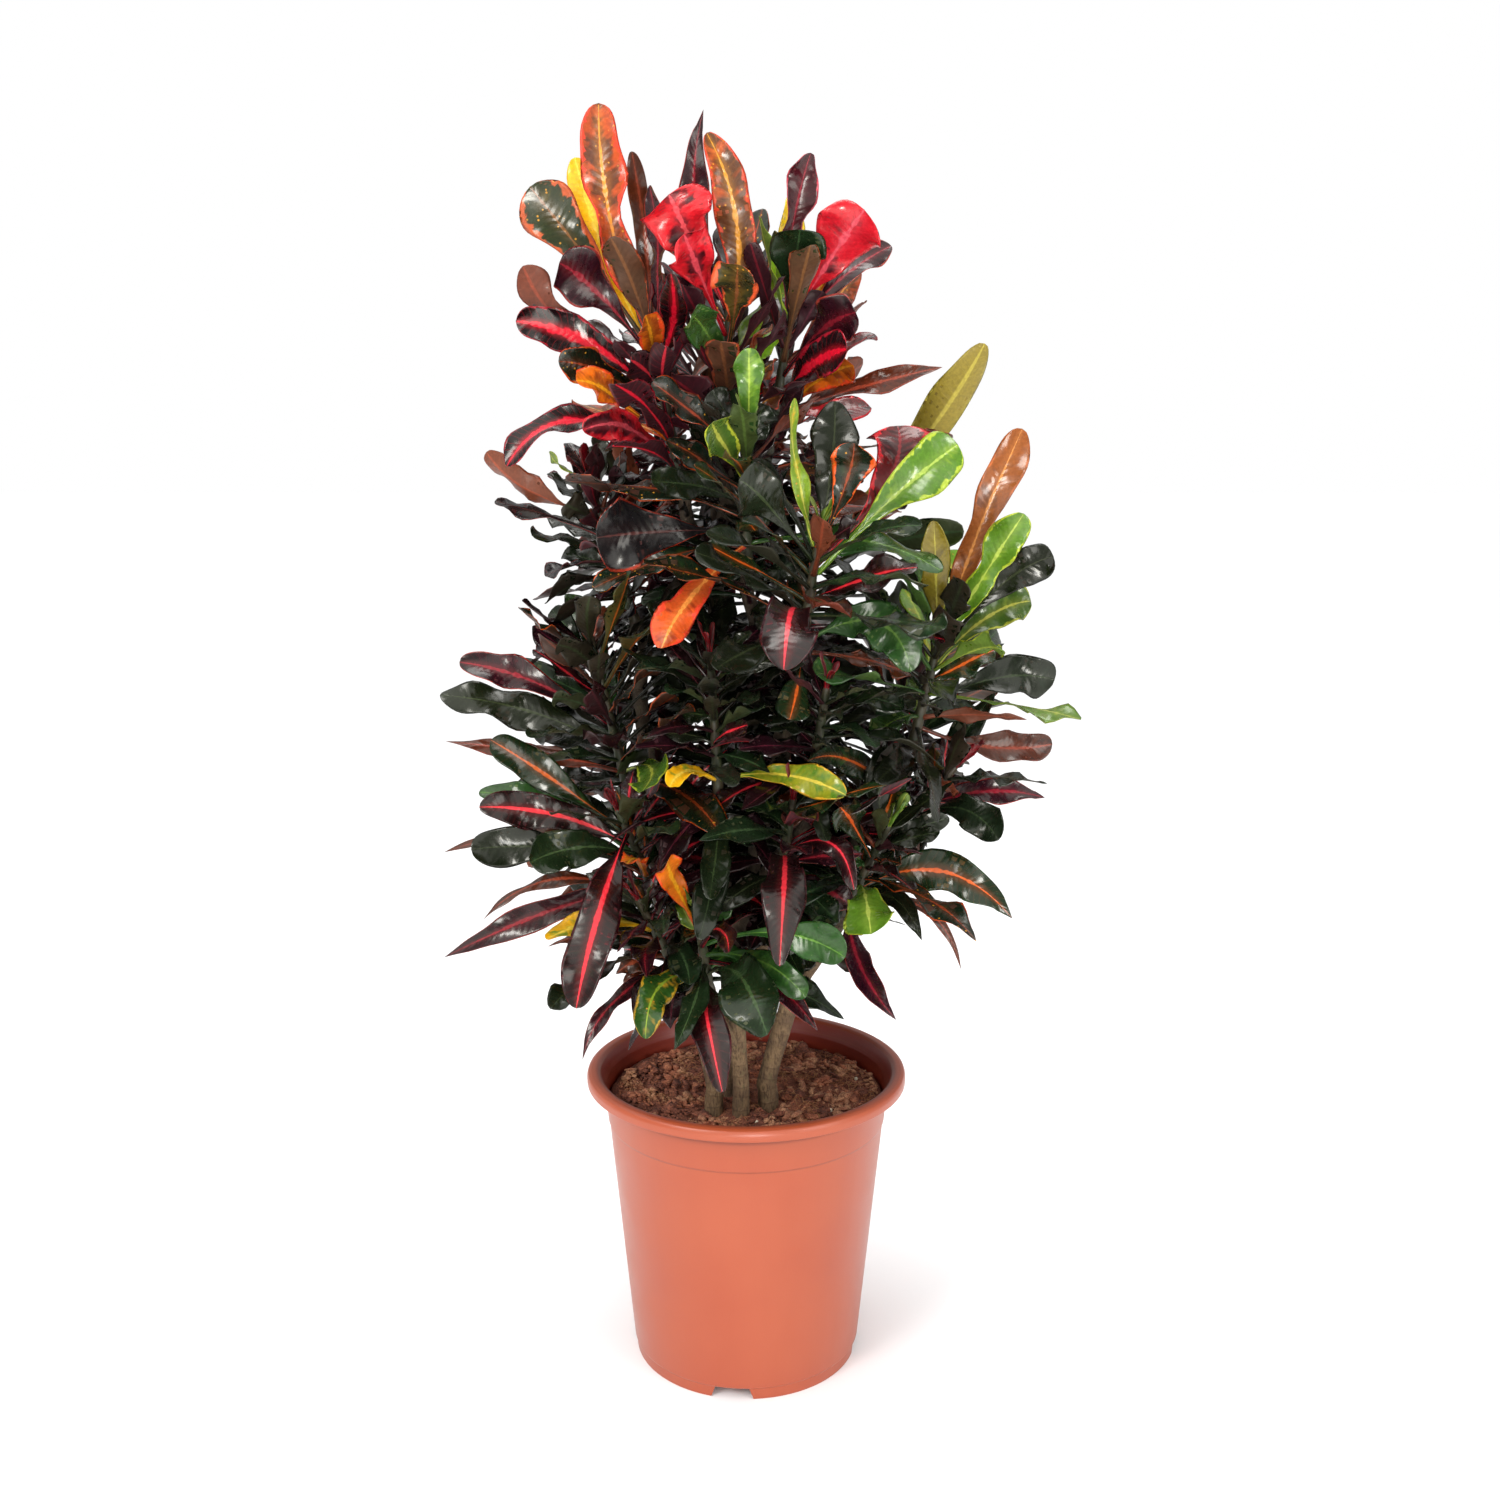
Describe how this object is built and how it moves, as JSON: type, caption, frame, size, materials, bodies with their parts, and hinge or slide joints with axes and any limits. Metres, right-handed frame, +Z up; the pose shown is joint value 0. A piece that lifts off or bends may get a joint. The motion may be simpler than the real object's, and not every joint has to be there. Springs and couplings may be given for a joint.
{
  "type": "potted croton",
  "caption": "Tall branched croton with many long, glossy, wavy leaves in dark red, orange, yellow and green, standing in a round tapered plastic nursery pot filled with bark soil.",
  "frame": {"origin": "centre of the pot's foot ring, on the plane that it stands on", "axes": "+Z up along the pot's axis, -Y towards the front of the plant, +X to the right seen from the front"},
  "size_m": [0.442, 0.4066, 0.9008],
  "materials": {
    "pot": "smooth moulded plastic, terracotta orange, slightly glossy",
    "soil": "loose brown bark chips and coir fibre, dull",
    "bark": "thin grey-brown bark with leaf scars",
    "leaves_top": "glossy leaves, red and orange over dark maroon",
    "leaves_middle": "glossy leaves, dark green and maroon with red and yellow veins",
    "leaves_low": "glossy pointed leaves, near-black with a red midrib, some green",
    "leaves_inner": "glossy narrow leaves, dark green"
  },
  "bodies": {
    "root": {"pot": "pot", "soil": "soil", "stem_left": "bark", "stem_front": "bark", "stem_right": "bark", "stem_back": "bark", "shoot_top_left": "leaves_top", "shoot_top_middle": "leaves_top", "shoot_top_right": "leaves_top", "shoot_top_back": "leaves_top", "shoot_centre_high": "leaves_middle", "shoot_middle_left": "leaves_middle", "shoot_middle_left_back": "leaves_middle", "shoot_middle_front": "leaves_middle", "shoot_middle_back": "leaves_middle", "shoot_right": "leaves_middle", "shoot_right_low": "leaves_low", "shoot_right_bottom": "leaves_low", "shoot_right_back": "leaves_middle", "shoot_left": "leaves_middle", "shoot_left_low": "leaves_low", "shoot_left_bottom": "leaves_low", "shoot_left_back": "leaves_middle", "shoot_front_bottom": "leaves_low", "shoot_front_right": "leaves_low", "shoot_front_middle": "leaves_inner", "shoot_inner_right": "leaves_inner", "shoot_back_low": "leaves_low", "shoot_back_middle": "leaves_middle"}
  },
  "joints": []
}
